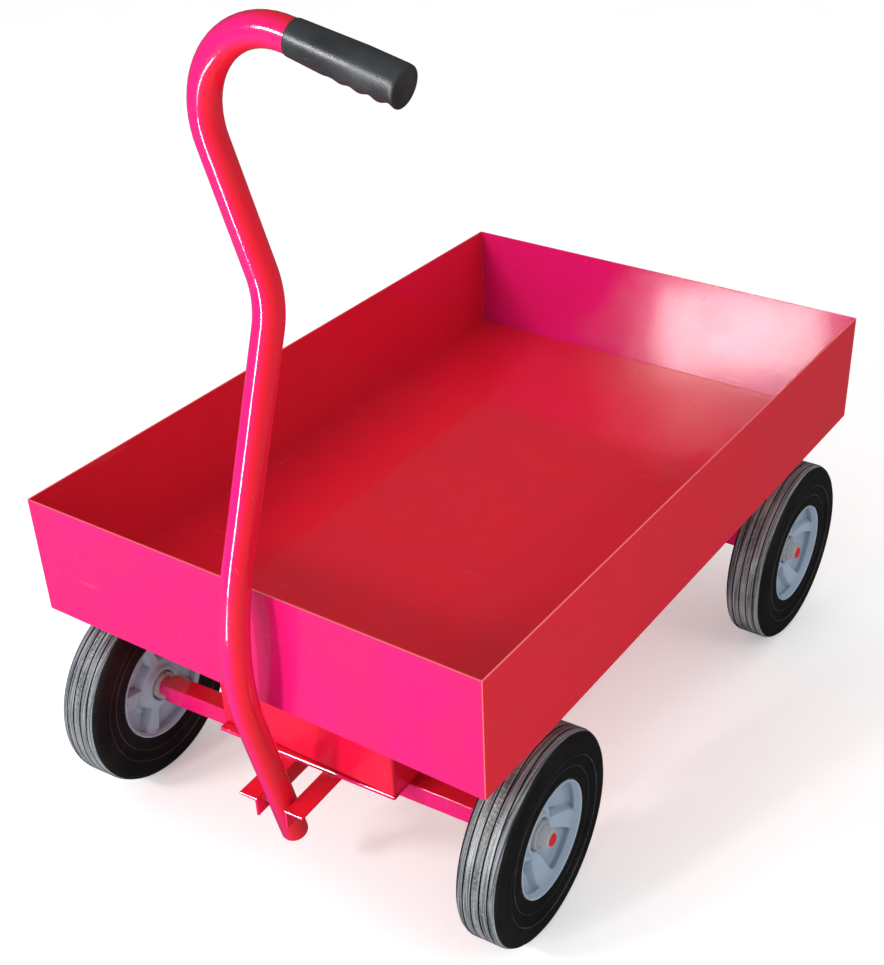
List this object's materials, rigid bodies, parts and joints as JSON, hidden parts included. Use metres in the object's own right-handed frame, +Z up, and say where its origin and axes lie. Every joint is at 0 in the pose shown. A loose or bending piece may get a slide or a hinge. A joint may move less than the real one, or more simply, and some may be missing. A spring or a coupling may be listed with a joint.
{
  "type": "wagon with pull handle",
  "caption": "Steel wagon truck with a lipped tray, rubber wheels, a front axle that steers on a turntable and a bent pull handle with a rubber grip",
  "frame": {"origin": "on the floor under the middle of the wagon's overall length and width", "axes": "+Z up, -Y the end the handle is on, +X to the right when looking along +Y from the handle end"},
  "size_m": [0.6242, 0.973, 0.9957],
  "materials": {
    "body_paint": "gloss",
    "zinc_steel": "satin",
    "tyre_rubber": "matte",
    "grip_rubber": "satin",
    "hub_plastic": "gloss"
  },
  "bodies": {
    "chassis": {"bolster_plate": "body_paint", "deck_rail_left": "body_paint", "deck_rail_right": "body_paint", "deck_tray": "body_paint", "front_riser": "body_paint", "kingpin": "zinc_steel", "kingpin_nut": "zinc_steel", "kingpin_washer": "zinc_steel", "rear_axle": "body_paint", "rear_axle_nuts": "zinc_steel", "rear_axle_washers": "zinc_steel", "rear_plate": "body_paint", "rear_riser": "body_paint"},
    "front_truck": {"front_axle": "body_paint", "turntable_plate": "body_paint", "bearing_washer": "zinc_steel", "tongue_rail_left": "body_paint", "tongue_rail_right": "body_paint", "handle_bolt": "zinc_steel", "handle_bolt_nut": "zinc_steel", "front_axle_washers": "zinc_steel", "front_axle_nuts": "zinc_steel"},
    "handle": {"handle_lower_run": "body_paint", "handle_lower_bend": "body_paint", "handle_middle_run": "body_paint", "handle_middle_bend": "body_paint", "handle_upper_run": "body_paint", "handle_upper_bend": "body_paint", "handle_grip_run": "body_paint", "handle_end_plug": "body_paint", "hinge_sleeve": "zinc_steel", "handle_grip": "grip_rubber"},
    "front_left_wheel": {"front_left_tyre": "tyre_rubber", "front_left_hub": "hub_plastic", "front_left_bearing_inner": "zinc_steel", "front_left_bearing_outer": "zinc_steel"},
    "front_right_wheel": {"front_right_tyre": "tyre_rubber", "front_right_hub": "hub_plastic", "front_right_bearing_inner": "zinc_steel", "front_right_bearing_outer": "zinc_steel"},
    "rear_left_wheel": {"rear_left_tyre": "tyre_rubber", "rear_left_hub": "hub_plastic", "rear_left_bearing_inner": "zinc_steel", "rear_left_bearing_outer": "zinc_steel"},
    "rear_right_wheel": {"rear_right_tyre": "tyre_rubber", "rear_right_hub": "hub_plastic", "rear_right_bearing_inner": "zinc_steel", "rear_right_bearing_outer": "zinc_steel"}
  },
  "joints": [
    {"name": "steer", "type": "hinge", "parent": "chassis", "child": "front_truck", "pos_m": [0, -0.3179, 0.127], "axis": [0, 0, 1], "range_deg": [-17, 11]},
    {"name": "handle_tilt", "type": "hinge", "parent": "front_truck", "child": "handle", "pos_m": [0.01204, -0.4138, 0.127], "axis": [0.9986, 0.0523, 0], "range_deg": [0, 68]},
    {"name": "front_left_spin", "type": "hinge", "parent": "front_truck", "child": "front_left_wheel", "pos_m": [-0.27762, -0.33245, 0.127], "axis": [0.9986, 0.0523, 0], "continuous": true},
    {"name": "front_right_spin", "type": "hinge", "parent": "front_truck", "child": "front_right_wheel", "pos_m": [0.27762, -0.30335, 0.127], "axis": [0.9986, 0.0523, 0], "continuous": true},
    {"name": "rear_left_spin", "type": "hinge", "parent": "chassis", "child": "rear_left_wheel", "pos_m": [-0.278, 0.3595, 0.127], "axis": [1, 0, 0], "continuous": true},
    {"name": "rear_right_spin", "type": "hinge", "parent": "chassis", "child": "rear_right_wheel", "pos_m": [0.278, 0.3595, 0.127], "axis": [1, 0, 0], "continuous": true}
  ]
}
